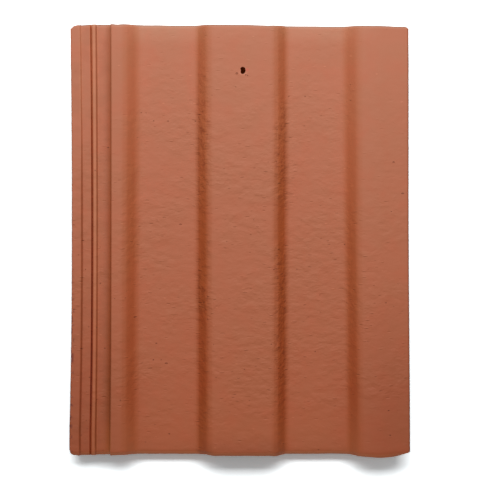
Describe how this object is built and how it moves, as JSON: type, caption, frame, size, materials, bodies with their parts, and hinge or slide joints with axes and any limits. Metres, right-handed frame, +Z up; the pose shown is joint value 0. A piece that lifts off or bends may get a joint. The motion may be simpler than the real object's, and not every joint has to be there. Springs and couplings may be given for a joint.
{
  "type": "interlocking roof tile",
  "caption": "Trapezoid-profile interlocking roof tile with flat pans, broad flat ridges, side underlock and overlock, batten nibs underneath and a nail hole near the head.",
  "frame": {"origin": "centre of the bounding box's base, on the level floor that the tile lies on", "axes": "+Y along the length towards the head, +Z up out of the weathered face, +X across towards the overlock"},
  "size_m": [0.33, 0.4206, 0.044],
  "materials": {
    "tile_body": "satin"
  },
  "bodies": {
    "root": {"tile": "tile_body"}
  },
  "joints": []
}
